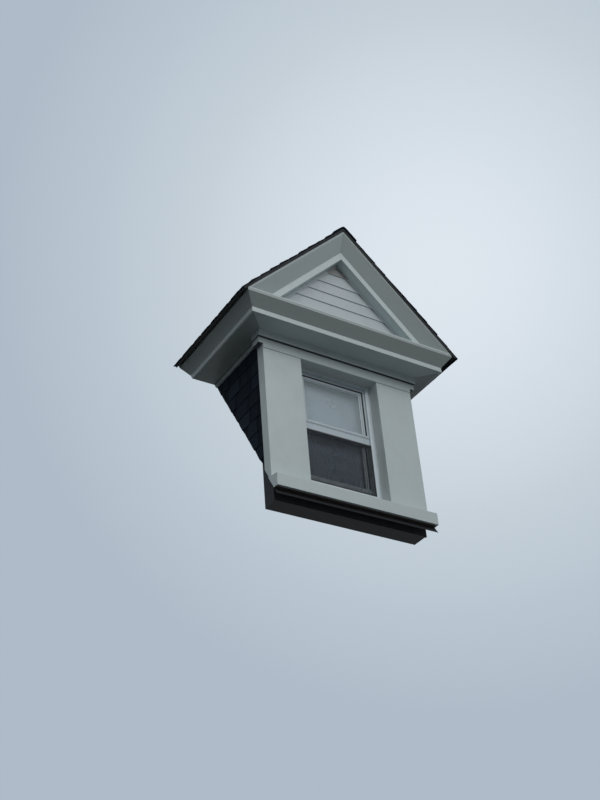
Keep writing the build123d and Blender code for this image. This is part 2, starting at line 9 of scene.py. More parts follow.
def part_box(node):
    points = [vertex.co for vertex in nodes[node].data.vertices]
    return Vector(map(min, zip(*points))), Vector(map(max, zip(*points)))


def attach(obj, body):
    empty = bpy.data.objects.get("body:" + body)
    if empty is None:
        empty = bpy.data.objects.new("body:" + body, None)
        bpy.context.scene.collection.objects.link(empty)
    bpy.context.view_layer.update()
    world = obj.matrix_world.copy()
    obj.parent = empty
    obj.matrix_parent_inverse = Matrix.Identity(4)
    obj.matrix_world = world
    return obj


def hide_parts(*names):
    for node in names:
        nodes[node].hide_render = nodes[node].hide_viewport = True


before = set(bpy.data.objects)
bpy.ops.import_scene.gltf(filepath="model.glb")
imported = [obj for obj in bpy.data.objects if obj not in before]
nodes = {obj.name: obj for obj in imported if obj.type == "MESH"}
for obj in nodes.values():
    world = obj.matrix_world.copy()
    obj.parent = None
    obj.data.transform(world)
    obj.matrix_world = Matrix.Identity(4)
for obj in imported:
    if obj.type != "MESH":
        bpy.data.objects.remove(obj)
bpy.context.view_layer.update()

# Framing timbers: sole plates, studs, header, rafters, ridge board and valley sleepers.
# Rough-sawn softwood, nailed up and left bare inside the roof, with a tone, growth rings and
# knots for each board. The feet of the front wall were tarred against damp.


class Sock:
    """A socket of a material's node, whose arithmetic adds Math nodes."""

    def __init__(self, paint, socket):
        self.paint = paint
        self.socket = socket

    def maths(self, operation, *values):
        return self.paint.node("ShaderNodeMath", {"operation": operation}, dict(enumerate(values)))

    def __add__(self, other):
        return self.maths("ADD", self, other)

    def __sub__(self, other):
        return self.maths("SUBTRACT", self, other)

    def __rsub__(self, other):
        return self.maths("SUBTRACT", other, self)

    def __mul__(self, other):
        return self.maths("MULTIPLY", self, other)

    def __truediv__(self, other):
        return self.maths("DIVIDE", self, other)

    def __gt__(self, other):
        return self.maths("GREATER_THAN", self, other)

    def __lt__(self, other):
        return self.maths("LESS_THAN", self, other)


class Paint:
    """A material built up node by node, on Object coordinates in metres."""

    def __init__(self, name, owner=None):
        self.material = owner or bpy.data.materials.new(name)
        self.material.use_nodes = True
        self.tree = self.material.node_tree
        self.tree.nodes.clear()
        self.place = self.node("ShaderNodeTexCoord", output="Object")

    def node(self, kind, settings=None, sockets=None, output=0):
        """Makes a node: its settings first, then the values or links of its sockets."""
        made = self.tree.nodes.new(kind)
        for name, value in (settings or {}).items():
            if name != "stops":
                setattr(made, name, value)
                continue
            while len(made.color_ramp.elements) < len(value):
                made.color_ramp.elements.new(1)
            for element, (position, colour) in zip(made.color_ramp.elements, value):
                element.position = position
                element.color = colour
        for name, value in (sockets or {}).items():
            if isinstance(value, Sock):
                self.tree.links.new(value.socket, made.inputs[name])
            else:
                made.inputs[name].default_value = value
        return Sock(self, made.outputs[output]) if made.outputs else None

    def laid(self, place, size=(1, 1, 1), turn=(0, 0, 0)):
        """Coordinates in a pattern box of this size, turned in the object."""
        sockets = {"Vector": place, "Rotation": turn, "Scale": size}
        return self.node("ShaderNodeMapping", {"vector_type": "TEXTURE"}, sockets)

    def noise(self, place, scale, detail, roughness=0.5):
        sockets = {"Vector": place, "Scale": scale, "Detail": detail, "Roughness": roughness}
        return self.node("ShaderNodeTexNoise", {}, sockets)

    def part(self, vector, axis):
        return self.node("ShaderNodeSeparateXYZ", {}, {0: vector}, axis)

    def vector(self, operation, first, second, output=0):
        sockets = {0: first, 1: second}
        return self.node("ShaderNodeVectorMath", {"operation": operation}, sockets, output)

    def mirrored(self, place):
        """Coordinates that are the same on both sides of the middle."""
        return self.node("ShaderNodeVectorMath", {"operation": "ABSOLUTE"}, {0: place})

    def fade(self, value, low, high, to_low=0.0, to_high=1.0):
        """Takes a value from one range to another and holds it at the ends."""
        return self.node("ShaderNodeMapRange", {}, dict(enumerate((value, low, high, to_low, to_high))))

    def ramp(self, value, *stops):
        return self.node("ShaderNodeValToRGB", {"stops": stops}, {0: value})

    def mix(self, share, first, second):
        """Mixes two colours. The node takes them at its sockets 6 and 7 and gives one at 2."""
        sockets = {0: share, 6: first, 7: second}
        return self.node("ShaderNodeMix", {"data_type": "RGBA"}, sockets, 2)

    def surface(self, colour, roughness, height=None, depth=0.001, **constants):
        """The finished surface. The height is in shares of a depth in metres."""
        sockets = {"Base Color": colour, "Roughness": roughness, **constants}
        if height is not None:
            bump = {"Height": height, "Distance": depth, "Strength": 1.0}
            sockets["Normal"] = self.node("ShaderNodeBump", {}, bump)
        shader = self.node("ShaderNodeBsdfPrincipled", {}, sockets)
        self.node("ShaderNodeOutputMaterial", {}, {"Surface": shader})
        return self.material


def rgb(red, green, blue):
    """A colour in the usual steps of 0 to 255, as the linear values that a node takes."""
    linear = [((step / 255 + 0.055) / 1.055) ** 2.4 for step in (red, green, blue)]
    return (*linear, 1)


def softwood(name, turn, spacing, start, two_sided, tar_top):
    """Sawn softwood with its grain along the turned X axis, tarred black below a height.

    Each cell of the spacing, counted from the start, is a board with a tone of its own.
    """
    paint = Paint(name)
    place = paint.mirrored(paint.place) if two_sided else paint.place
    cell = paint.vector("SNAP", paint.vector("SUBTRACT", place, start), spacing)
    tone = paint.node("ShaderNodeTexWhiteNoise", {}, {"Vector": cell})
    jump = paint.node("ShaderNodeTexWhiteNoise", {}, {"Vector": cell}, "Color")
    along = paint.vector("ADD", paint.laid(place, turn=turn), jump)
    rings = paint.node(
        "ShaderNodeTexWave",
        {"wave_type": "RINGS", "rings_direction": "X", "wave_profile": "SAW"},
        {
            "Vector": paint.laid(along, size=(14, 1, 1)),
            "Scale": 38.0,
            "Distortion": 3.0,
            "Detail Scale": 2.0,
        },
    )
    fibre = paint.noise(paint.laid(along, size=(24, 1, 1)), 320, 3, 0.6)
    blotches = paint.noise(paint.laid(along, size=(4, 1, 1)), 6, 3)
    spread = paint.laid(along, size=(0.4, 0.13, 0.13))
    spots = paint.node("ShaderNodeTexVoronoi", {}, {"Vector": spread, "Scale": 1.0})
    knot = paint.fade(spots, 0.05, 0.11, 1, 0)
    saw = paint.node("ShaderNodeTexWave", {}, {"Vector": along, "Scale": 70.0, "Distortion": 1.5})
    wood = paint.ramp(
        rings * 0.55 + fibre * 0.45,
        (0.15, rgb(196, 160, 112)),
        (0.55, rgb(178, 138, 90)),
        (0.85, rgb(146, 104, 62)),
    )
    wood = paint.mix(paint.fade(blotches, 0.45, 0.75, 0, 0.5), wood, rgb(120, 92, 64))
    wood = paint.mix(knot, wood, rgb(74, 44, 24))
    wood = paint.mix(paint.fade(tone, 0, 1, 0, 0.34), wood, rgb(104, 80, 58))
    if tar_top:
        tarred = paint.part(paint.place, 2) + blotches * 0.03 < tar_top
        wood = paint.mix(tarred, wood, rgb(15, 16, 18))
    return paint.surface(
        wood,
        paint.fade(fibre, 0.3, 0.7, 0.68, 0.86),
        fibre * 0.5 + rings * 0.3 + saw * 0.25 - knot * 0.4,
        0.0006,
    )


roof_pitch = radians(45)
main_pitch = radians(60)
upright = (0, -pi / 2, 0)
front_to_back = (0, 0, pi / 2)
side_to_side = (0, 0, 0)
down_the_rafters = (0, roof_pitch, 0)
up_the_main_roof = (0, -main_pitch, pi / 2)
along_the_valleys = (0, -atan2(1, sqrt(4 / 3)), radians(150))
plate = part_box("front_sole_plate")[1].z
frame_spacing = 0.406
first_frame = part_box("front_sole_plate")[0].y + plate / 2
stud_cells = first_frame - frame_spacing / 2
rafter_cells = first_frame + frame_spacing / 2
jack_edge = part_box("window_header")[1].x
stud_cell = 0.2
window_cell = 0.8
half = 0.9
whole = 9
before = -4
one_board = (whole, whole, whole)
start_before = (before, before, before)
tar_tops = {"front_sole_plate": whole, "front_studs": 0.4}
for timber, turn, spacing, start, two_sided in (
    ("front_sole_plate", side_to_side, one_board, start_before, False),
    ("front_studs", upright, (stud_cell, whole, whole), (jack_edge, before, before), True),
    ("window_header", side_to_side, one_board, start_before, False),
    ("rough_sill", side_to_side, one_board, start_before, False),
    ("front_top_plate", side_to_side, (whole, whole, plate), (before, before, 0), False),
    ("cripple_studs", upright, (stud_cell, whole, window_cell), (-stud_cell / 2, before, 0), False),
    ("gable_studs", upright, (half, whole, whole), (-half, before, before), False),
    ("cheek_sole_plates", up_the_main_roof, (half, whole, whole), (-half, before, before), False),
    ("cheek_studs", upright, (half, frame_spacing, whole), (-half, stud_cells, before), False),
    ("cheek_top_plates", front_to_back, (half, whole, plate), (-half, before, 0), False),
    ("rafters", down_the_rafters, (whole, frame_spacing, whole), (before, rafter_cells, before), True),
    ("ridge_board", front_to_back, one_board, start_before, False),
    ("valley_sleepers", along_the_valleys, one_board, start_before, True),
):
    wood = softwood(timber + "_wood", turn, spacing, start, two_sided, tar_tops.get(timber, 0))
    nodes[timber].material_slots[0].material = wood

# Wall sheathing and roof deck: sheets of plywood, nailed over the studs and rafters. On the front
# wall the part below the sill was lapped with black roofing felt before the sill went on, because
# the main roof's covering meets it there.
veneer_figure = (1.5, 0.2, 1)
veneer_rings = 13


def plywood(name, lay, two_sided, felted_to, dark_edge):
    """Peeled softwood veneer, whose rings open into long loops in the board's own plane.

    Below one height it is felted. Past the dark edge, a reach to the sides and one to the front,
    it is painted like the drip edges.
    """
    paint = Paint(name)
    place = paint.mirrored(paint.place) if two_sided else paint.place
    flat = paint.laid(place, turn=lay)
    loops = paint.noise(paint.laid(flat, size=veneer_figure), 1, 2) * veneer_rings
    rings = loops.maths("PINGPONG", loops, 0.5) * 2
    fibre = paint.noise(paint.laid(flat, size=(14, 1, 1)), 240, 3)
    spread = paint.laid(flat, size=(0.6, 0.42, 0.42))
    spots = paint.node("ShaderNodeTexVoronoi", {}, {"Vector": spread, "Scale": 1.0})
    knot = paint.fade(spots, 0.03, 0.05, 1, 0)
    wood = paint.ramp(
        rings * 0.6 + fibre * 0.4,
        (0.2, rgb(150, 114, 72)),
        (0.45, rgb(176, 139, 93)),
        (0.8, rgb(196, 162, 114)),
    )
    wood = paint.mix(knot, wood, rgb(92, 58, 32))
    rough = paint.fade(fibre, 0.3, 0.7, 0.7, 0.85)
    height = rings * 0.4 + fibre * 0.6
    if dark_edge is not None:
        outside = paint.part(place, 0) > dark_edge[0]
        outside = outside.maths("MAXIMUM", outside, paint.part(paint.place, 1) < dark_edge[1])
        wood = paint.mix(outside, wood, rgb(20, 22, 24))
    if felted_to is not None:
        crumple = paint.noise(paint.laid(place, size=(1, 1, 0.6)), 14, 4, 0.6)
        felt = paint.part(place, 2) < felted_to
        black = paint.ramp(crumple, (0.3, rgb(26, 27, 29)), (0.7, rgb(40, 41, 43)))
        wood = paint.mix(felt, wood, black)
        height = height * (1 - felt) + crumple * felt
    return paint.surface(wood, rough, height, 0.0008)


felt_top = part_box("rough_sill")[1].z
crown_edge = -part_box("left_crown")[0].x
crown_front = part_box("front_crown")[0].y
for board, lay, two_sided, felt, edge in (
    ("cheek_sheathing", (pi / 2, 0, pi / 2), False, None, None),
    ("front_sheathing_sides", (pi / 2, 0, 0), False, felt_top, None),
    ("front_sheathing_middle", (pi / 2, 0, 0), False, felt_top, None),
    ("left_roof_deck", (0, roof_pitch, 0), True, None, (crown_edge, crown_front)),
    ("right_roof_deck", (0, roof_pitch, 0), True, None, (crown_edge, crown_front)),
):
    nodes[board].material_slots[0].material = plywood(board + "_veneer", lay, two_sided, felt, edge)

# Drip edges along the eaves and rakes, and the apron flashing under the sill.
# Thin steel bent on a brake and painted near-black like the shingles, nailed on under them.
paint = Paint("dark_flashing_metal")
grime = paint.noise(paint.place, 9, 4, 0.6)
scuffs = paint.noise(paint.laid(paint.place, size=(3, 3, 0.7)), 60, 3)
metal = paint.ramp(grime, (0.35, rgb(6, 9, 12)), (0.7, rgb(14, 18, 21)))
metal = paint.mix(paint.fade(scuffs, 0.62, 0.78, 0, 0.2), metal, rgb(34, 38, 41))
flashing_metal = paint.surface(metal, paint.fade(grime, 0.3, 0.7, 0.7, 0.85), grime, 0.0008)
for strip in ("rake_drip_edges", "eave_drip_edges", "apron_flashing"):
    nodes[strip].material_slots[0].material = flashing_metal

# Cheek shingles: laminated asphalt shingles, the same as on the roof, nailed up the cheeks in
# level courses. Each course has backing sheets a metre long, with teeth of uneven width bonded
# over them, and is cut where it meets the main roof.
cheek_courses = 11
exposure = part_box("left_cheek_shingles")[1].z / cheek_courses
starter_thickness = 0.001
sheet_thickness = 0.004
tooth_thickness = 0.003
sheet_length = 0.98
sheet_gap = 0.0006
hidden_lap = 0.3
loose_lift = 0.0012
tooth_widths = (0.085, 0.19)
tooth_gaps = (0.028, 0.075)
least_tooth = 0.01
tooth_support = 0.7
sheet_tones = (0, 0.45)
tooth_tones = (0.2, 1)
cut_shares = (0.1, 0.9)
crook = 0.0015
rounding_up = 0.999
main_roof_up = Vector((0, -sin(main_pitch), cos(main_pitch)))
main_roof_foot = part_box("left_cheek_shingles")[0]


def shingle_bmesh():
    """An empty bmesh with a number on each face for the shingle's own tone."""
    bm = bmesh.new()
    return bm, bm.faces.layers.float.new("tone")


def faces_on(verts):
    """The faces that meet at these vertices."""
    return list({face for vert in verts for face in vert.link_faces})


def lay_sheet(bm, tone, base, across, up, lift, thickness, shade, bend=0.0):
    """One piece of a shingle: base maps (across, up the slope, outwards) to the object."""
    length = up[1] - up[0]
    tilt = atan2(lift[1] - lift[0], length)
    middle = ((across[0] + across[1]) / 2, (up[0] + up[1]) / 2, (lift[0] + lift[1] + thickness) / 2)
    size = Matrix.Diagonal((across[1] - across[0], length, thickness, 1))
    place = base @ Matrix.Translation(middle) @ Matrix.Rotation(tilt, 4, "X") @ size
    verts = bmesh.ops.create_cube(bm, size=1, matrix=place)["verts"]
    for way in (base.col[0].to_3d(), base.col[1].to_3d()):
        for end in (verts[:4], verts[4:]):
            bmesh.ops.translate(bm, verts=end, vec=way * rng.uniform(-bend, bend))
    for face in faces_on(verts):
        face[tone] = shade


def lay_courses(bm, tone, base, width, height, course, below, ragged=0.0):
    """Courses from the bottom up. Below is the thickness that the first course lies on.

    Ragged is how far the ends of the courses stand back, each by its own share of it.
    """
    for row in range(int(height / course + rounding_up)):
        low = max(row * course, crook)
        high = min(row * course + course * (1 + hidden_lap), height)
        loose = rng.uniform(0, loose_lift + ragged * 0.4)
        rest = below if row == 0 else sheet_thickness + tooth_thickness * tooth_support + loose
        left, right = rng.uniform(0, ragged), width - rng.uniform(0, ragged)
        start = -rng.uniform(*cut_shares) * sheet_length
        while start < width:
            span = (max(start, left) + sheet_gap, min(start + sheet_length, right) - sheet_gap)
            if span[1] > span[0]:
                shade = rng.uniform(*sheet_tones)
                lay_sheet(bm, tone, base, span, (low, high), (rest, 0), sheet_thickness, shade)
            start += sheet_length
        start = -rng.uniform(0, tooth_widths[1])
        while start < width:
            tooth = rng.uniform(*tooth_widths)
            span = (max(start, left + crook), min(start + tooth, right - crook))
            if span[1] - span[0] > least_tooth:
                over = (rest + sheet_thickness, sheet_thickness)
                shade = rng.uniform(*tooth_tones)
                lay_sheet(bm, tone, base, span, (low, high), over, tooth_thickness, shade, crook)
            start += tooth + rng.uniform(*tooth_gaps)


def split(bm, point, normal, **settings):
    """Cuts every face that a plane goes through."""
    everything = bm.verts[:] + bm.edges[:] + bm.faces[:]
    return bmesh.ops.bisect_plane(
        bm, geom=everything, dist=1e-6, plane_co=point, plane_no=normal, **settings
    )


def trim_off(bm, point, outwards):
    """Cuts off what lies beyond a plane and closes the cut faces."""
    cut = split(bm, point, outwards, clear_outer=True)
    edges = [item for item in cut["geom_cut"] if isinstance(item, bmesh.types.BMEdge)]
    bmesh.ops.holes_fill(bm, edges=edges)


def make_piece(name, bm, materials, slot, *stands_for):
    """Turns a bmesh into a piece of the part that rides with it."""
    mesh = bpy.data.meshes.new(name)
    bm.to_mesh(mesh)
    bm.free()
    for material in materials:
        mesh.materials.append(material)
    piece = bpy.data.objects.new(name, mesh)
    bpy.context.scene.collection.objects.link(piece)
    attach(piece, "root")
    if stands_for:
        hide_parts(*stands_for)


def asphalt_shingle():
    """Crushed stone granules on asphalt, each shingle blended a little lighter or darker."""
    paint = Paint("asphalt_shingle_granules")
    tone = paint.node("ShaderNodeAttribute", {"attribute_name": "tone"}, output="Fac")
    grains = paint.node("ShaderNodeTexVoronoi", {}, {"Vector": paint.place, "Scale": 620.0}, "Color")
    grain = paint.part(grains, 0)
    blend = paint.noise(paint.place, 34, 3, 0.65)
    weather = paint.noise(paint.laid(paint.place, size=(1, 1, 0.5)), 3.2, 4, 0.6)
    mixed = tone * 0.42 + grain * 0.3 + blend * 0.28
    stone = paint.ramp(
        mixed,
        (0.2, rgb(4, 12, 21)),
        (0.5, rgb(11, 23, 34)),
        (0.72, rgb(22, 35, 47)),
        (0.95, rgb(53, 64, 75)),
    )
    stone = paint.mix(paint.fade(weather, 0.45, 0.8, 0, 0.3), stone, rgb(35, 40, 44))
    rough = paint.fade(grain, 0, 1, 0.78, 0.95)
    return paint.surface(stone, rough, grain * 0.6 + blend * 0.4, 0.0012, **{"Specular IOR Level": 0.12})


rng = random.Random(7)
shingle_stone = asphalt_shingle()
for side, name in ((-1, "left_cheek_shingles"), (1, "right_cheek_shingles")):
    low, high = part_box(name)
    face = low.x if side > 0 else high.x
    start = low.y if side > 0 else high.y
    base = Matrix(((0, 0, side, face), (side, 0, 0, start), (0, 1, 0, low.z), (0, 0, 0, 1)))
    bm, tone = shingle_bmesh()
    lay_courses(bm, tone, base, high.y - low.y, high.z - low.z, exposure, starter_thickness)
    trim_off(bm, Vector((0, low.y, low.z)), -main_roof_up)
    make_piece(name.replace("shingles", "shingle_courses"), bm, [shingle_stone], "asphalt_shingle", name)

# Roof shingles: the same shingles on both slopes, over the deck, from the eave up to the ridge.
# The courses run past the drip edge all round, so the rakes show their stepped edge, and they
# are cut along the valleys where the main roof's covering takes over.
roof_courses = 11
ragged_edge = 0.009
ridge_gap = 0.03
valley_foot = Vector((0, main_roof_foot.y, main_roof_foot.z))
cad_layer = 0.008
for side, name in ((-1, "left_roof_shingles"), (1, "right_roof_shingles")):
    low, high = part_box(name)
    edge = low.x if side < 0 else high.x
    foot = edge - side * cad_layer * sin(roof_pitch)
    up_slope = Vector((-side * cos(roof_pitch), 0, sin(roof_pitch)))
    outwards = Vector((side * sin(roof_pitch), 0, cos(roof_pitch)))
    across = up_slope.cross(outwards)
    base = Matrix.Identity(4)
    base.col[0].xyz = across
    base.col[1].xyz = up_slope
    base.col[2].xyz = outwards
    base.col[3].xyz = (foot, low.y if side > 0 else high.y, low.z)
    bm, tone = shingle_bmesh()
    slope_run = abs(foot) / cos(roof_pitch)
    course = slope_run / roof_courses
    lay_courses(bm, tone, base, high.y - low.y, slope_run - ridge_gap, course, 0, ragged_edge)
    trim_off(bm, valley_foot, -main_roof_up)
    make_piece(name.replace("shingles", "shingle_courses"), bm, [shingle_stone], "asphalt_shingle", name)

# Ridge caps: tabs cut from shingles, bent over the ridge in a round top and lapped from the front
# towards the back, each nailed under the next one. The first one is laid over a starter.
cap_low, cap_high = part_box("ridge_cap")
cap_girth = 0.35
cap_length = 0.28
cap_bend = 0.014
cap_thickness = 0.004
cap_exposure = 0.143
cap_wander = 0.004
cap_fall = 0.0055
cap_tones = (0.1, 0.8)
starter_layers = 2.2


def extruded(bm, faces):
    """Extrudes faces and gives the new vertices, still where the old ones are."""
    made = bmesh.ops.extrude_face_region(bm, geom=faces)
    return [item for item in made["geom"] if isinstance(item, bmesh.types.BMVert)]


bm, tone = shingle_bmesh()
cap_count = int((cap_high.y - cap_low.y) / cap_exposure) + 1
for number in range(cap_count):
    sheet = bmesh.ops.create_grid(bm, x_segments=12, y_segments=2, size=0.5)["verts"]
    start = cap_low.y + number * cap_exposure
    shift = rng.uniform(-cap_wander, cap_wander)
    for vert in sheet:
        reach = vert.co.x * cap_girth * cos(roof_pitch)
        along = vert.co.y + 0.5
        drop = sqrt(reach * reach + cap_bend * cap_bend) + cap_thickness / cos(roof_pitch)
        height = cap_high.z - drop - along * cap_fall
        vert.co = (reach + shift * along, start + along * cap_length, height)
    tops = extruded(bm, faces_on(sheet))
    layers = 1 if number else starter_layers
    bmesh.ops.translate(bm, verts=tops, vec=(0, 0, layers * cap_thickness / cos(roof_pitch)))
    shade = rng.uniform(*cap_tones)
    for face in faces_on(sheet + tops):
        face[tone] = shade
bmesh.ops.recalc_face_normals(bm, faces=bm.faces[:])
trim_off(bm, valley_foot, -main_roof_up)
trim_off(bm, Vector((0, cap_high.y, 0)), Vector((0, 1, 0)))
make_piece("ridge_caps", bm, [shingle_stone], "asphalt_shingle", "ridge_cap")

# Outside trim: pilasters, head casing and the boxed cornice with its crown, all boards wrapped in
# off-white enamelled aluminium. The sheet is folded over each corner with a small round bend and
# waves a little. The crowns lean out of the rain and have more grime marks. The crowns, the side
# soffits and the right rake crown take a darker copy of the enamel as painted shade, and the left
# rake crown a less dark copy, also painted shade.


def folded(node, bend, segments=3):
    """A copy of a CAD node as one closed shell with its corners folded round."""
    bm = bmesh.new()
    bm.from_mesh(nodes[node].data)
    bmesh.ops.remove_doubles(bm, verts=bm.verts[:], dist=0.00002)
    flat_enough = radians(1)
    bmesh.ops.dissolve_limit(
        bm, angle_limit=flat_enough, use_dissolve_boundaries=False, verts=bm.verts[:], edges=bm.edges[:]
    )
    sharp = radians(20)
    corners = [edge for edge in bm.edges if edge.calc_face_angle(0) > sharp]
    bmesh.ops.bevel(
        bm,
        geom=corners,
        offset=bend,
        offset_type="OFFSET",
        segments=segments,
        profile=0.5,
        affect="EDGES",
        clamp_overlap=True,
        material=-1,
    )
    return bm


def enamelled_trim(name, colour, soil):
    """Baked enamel on aluminium sheet: satin, a little wavy, with faint marks from the rain."""
    paint = Paint(name)
    waves = paint.noise(paint.laid(paint.place, size=(0.34, 0.34, 0.5)), 1, 2, 0.4)
    streaks = paint.noise(paint.laid(paint.place, size=(0.012, 0.012, 0.35)), 1, 4, 0.6)
    cloud = paint.noise(paint.place, 5, 4, 0.6)
    peel = paint.noise(paint.place, 900, 2)
    marks = paint.fade(streaks * 0.55 + cloud * 0.45, 0.5, 0.68)
    enamel = paint.mix(paint.fade(cloud, 0.3, 0.7, 0, 0.2), colour, rgb(174, 184, 182))
    enamel = paint.mix(marks * soil, enamel, rgb(139, 142, 134))
    rough = paint.fade(cloud, 0.3, 0.7, 0.36, 0.5) + marks * 0.1
    return paint.surface(enamel, rough, waves * 0.97 + peel * 0.03, 0.0035)


# The two darker copies after the trim enamel are that same enamel darkened as painted shade.
trim_enamel = enamelled_trim("trim_enamel", rgb(193, 206, 207), 0.09)
deep_shade_enamel = enamelled_trim("deep_shade_enamel", rgb(151, 162, 161), 0.3)
half_shade_enamel = enamelled_trim("half_shade_enamel", rgb(168, 180, 181), 0.2)
trim_bend = 0.0016
for node, enamel in (
    ("left_pilaster", trim_enamel),
    ("right_pilaster", trim_enamel),
    ("head_casing", trim_enamel),
    ("front_soffit", trim_enamel),
    ("left_soffit", deep_shade_enamel),
    ("right_soffit", deep_shade_enamel),
    ("front_fascia", trim_enamel),
    ("left_fascia", trim_enamel),
    ("right_fascia", trim_enamel),
    ("front_crown", deep_shade_enamel),
    ("left_crown", deep_shade_enamel),
    ("right_crown", deep_shade_enamel),
    ("pediment_cap", trim_enamel),
    ("left_rake_soffit", trim_enamel),
    ("right_rake_soffit", trim_enamel),
    ("left_rake_fascia", trim_enamel),
    ("right_rake_fascia", trim_enamel),
    ("left_rake_crown", half_shade_enamel),
    ("right_rake_crown", deep_shade_enamel),
):
    make_piece(node + "_wrap", folded(node, trim_bend), [enamel], "white_trim", node)

# Frieze, bed mould and side trims, wrapped like the rest. The undersides of the bed mould and the
# frieze's ears, and a band at the top of the side trims under the soffit, are painted near-black:
# partly sealant in the joints and partly painted shade where these faces lie in shadow. They show
# as dark lines.
# Near-black for sealant and for painted shade under the bed mould, the ears and the soffit.
paint = Paint("sealant_and_shade_black")
lumps = paint.noise(paint.place, 60, 3)
black = paint.ramp(lumps, (0.35, rgb(41, 47, 50)), (0.7, rgb(58, 65, 68)))
sealant_and_shade_black = paint.surface(black, paint.fade(lumps, 0.3, 0.7, 0.6, 0.75), lumps, 0.001)
face_half = -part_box("left_pilaster")[0].x
straight_down = -0.9
for node, from_middle in (("bed_mould", 0), ("frieze", face_half)):
    bm = folded(node, trim_bend)
    for face in bm.faces:
        if face.normal.z < straight_down and abs(face.calc_center_median().x) >= from_middle:
            face.material_index = 1
    make_piece(node + "_wrap", bm, [trim_enamel, sealant_and_shade_black], "white_trim", node)
sealant_and_shade_band = 0.008
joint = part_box("side_trims")[1].z - sealant_and_shade_band
bm = folded("side_trims", trim_bend)
split(bm, (0, 0, joint), (0, 0, 1))
for face in bm.faces:
    if face.calc_center_median().z > joint:
        face.material_index = 1
make_piece("side_trims_wrap", bm, [trim_enamel, sealant_and_shade_black], "white_trim", "side_trims")

# Sill: a thick board whose front, ends and top are wrapped like the trim. The wrap turns in under
# the front edge only, so the underside is bare weathered wood, its brown made very dark as painted
# shade under the sill.
sill_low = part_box("sill")[0]
# Weathered wood, darkened as painted shade for the sill's underside.
paint = Paint("weathered_and_shaded_sill_wood")
lines = paint.noise(paint.laid(paint.place, size=(14, 1, 1)), 130, 4, 0.65)
damp = paint.noise(paint.place, 7, 3)
underside_colour = paint.ramp(lines, (0.3, rgb(44, 36, 29)), (0.55, rgb(70, 58, 46)), (0.8, rgb(96, 82, 66)))
underside_colour = paint.mix(paint.fade(damp, 0.4, 0.7, 0, 0.6), underside_colour, rgb(34, 30, 26))
sill_underside_and_shade = paint.surface(underside_colour, paint.fade(lines, 0.3, 0.7, 0.75, 0.92), lines, 0.0015)
turned_under = 0.022
lip_end = sill_low.y + turned_under
mostly_down = -0.4
bm = folded("sill", 0.003)
split(bm, (0, lip_end, 0), (0, 1, 0))
for face in bm.faces:
    if face.normal.z < mostly_down and face.calc_center_median().y > lip_end:
        face.material_index = 1
make_piece("sill_wrap", bm, [trim_enamel, sill_underside_and_shade], "white_trim", "sill")

# Trim nails: small round heads in the trim's own colour that hold the wrap, in rows along its
# edges. Steel, driven flush through the sheet into the boards.
nail_radius = 0.0032
nail_rise = 0.0009
edge_inset = 0.018
frieze_inset = 0.015
sill_inset = 0.02
pilaster_nails = [0.3 + 0.27 * step for step in range(5)]
frieze_pitch = 0.36
fascia_pitch = 0.44
sill_pitch = 0.35
face_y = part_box("left_pilaster")[0].y
fascia_low, fascia_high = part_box("front_fascia")
frieze_low, frieze_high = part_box("frieze")
opening_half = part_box("head_casing")[1].x
bm = bmesh.new()
heads = []
for side in (-1, 1):
    for x in (opening_half + edge_inset, face_half - edge_inset):
        heads += [(side * x, face_y, z) for z in pilaster_nails]
for row in (-2, -1, 0, 1, 2):
    for z in (frieze_low.z + frieze_inset, frieze_high.z - frieze_inset):
        heads.append((row * frieze_pitch, frieze_low.y, z))
    heads.append((row * fascia_pitch, fascia_low.y, (fascia_low.z + fascia_high.z) / 2))
    heads.append((row * sill_pitch, sill_low.y, sill_low.z + sill_inset))
for head in heads:
    flat = Matrix.Translation(head) @ Matrix.Diagonal((nail_radius, nail_rise, nail_radius, 1))
    bmesh.ops.create_uvsphere(bm, u_segments=10, v_segments=6, radius=1, matrix=flat)
make_piece("trim_nails", bm, [trim_enamel], "white_trim")

# Pediment siding: pale vinyl laps clipped over each other, embossed with a faint wood grain. The
# ends are tucked behind the lip of a channel that follows the rakes, and the laps get painted shade
# where they run in under it. The small piece at the top is darker and browner.
siding_low, siding_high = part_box("tympanum_siding")
channel_lip = 0.025
channel_thickness = 0.0016
channel_gap = 0.0012
channel_length = 1.3
channel_middle = 0.6
shaded_reach = channel_lip * 1.3
top_lap = 2.3835


def siding_vinyl(name, laps):
    """Pale vinyl, darker and browner at the peak. The laps get painted shade in the channel."""
    paint = Paint(name)
    emboss = paint.noise(paint.laid(paint.place, size=(0.16, 0.03, 0.004)), 1, 4, 0.6)
    cloud = paint.noise(paint.place, 4, 3)
    soil = paint.noise(paint.laid(paint.place, size=(0.02, 0.02, 0.16)), 1, 3)
    vinyl = paint.mix(paint.fade(cloud, 0.35, 0.7, 0, 0.4), rgb(186, 196, 200), rgb(177, 187, 191))
    vinyl = paint.mix(paint.fade(soil, 0.5, 0.75, 0, 0.14), vinyl, rgb(150, 154, 152))
    height = paint.part(paint.place, 2)
    blotches = paint.noise(paint.place, 22, 4, 0.6)
    darker_at_peak = (height > top_lap) * paint.fade(blotches, 0.3, 0.6, 0.5, 0.85)
    vinyl = paint.mix(darker_at_peak, vinyl, rgb(120, 114, 110))
    if laps:
        from_middle = paint.part(paint.mirrored(paint.place), 0)
        # Painted shade on the laps where they run in behind the channel's lip.
        lap_shade_behind_lip = (height + from_middle) > siding_high.z - shaded_reach
        vinyl = paint.mix(lap_shade_behind_lip * 0.7, vinyl, rgb(20, 21, 22))
    return paint.surface(vinyl, paint.fade(emboss, 0.3, 0.7, 0.42, 0.56), emboss, 0.0005)


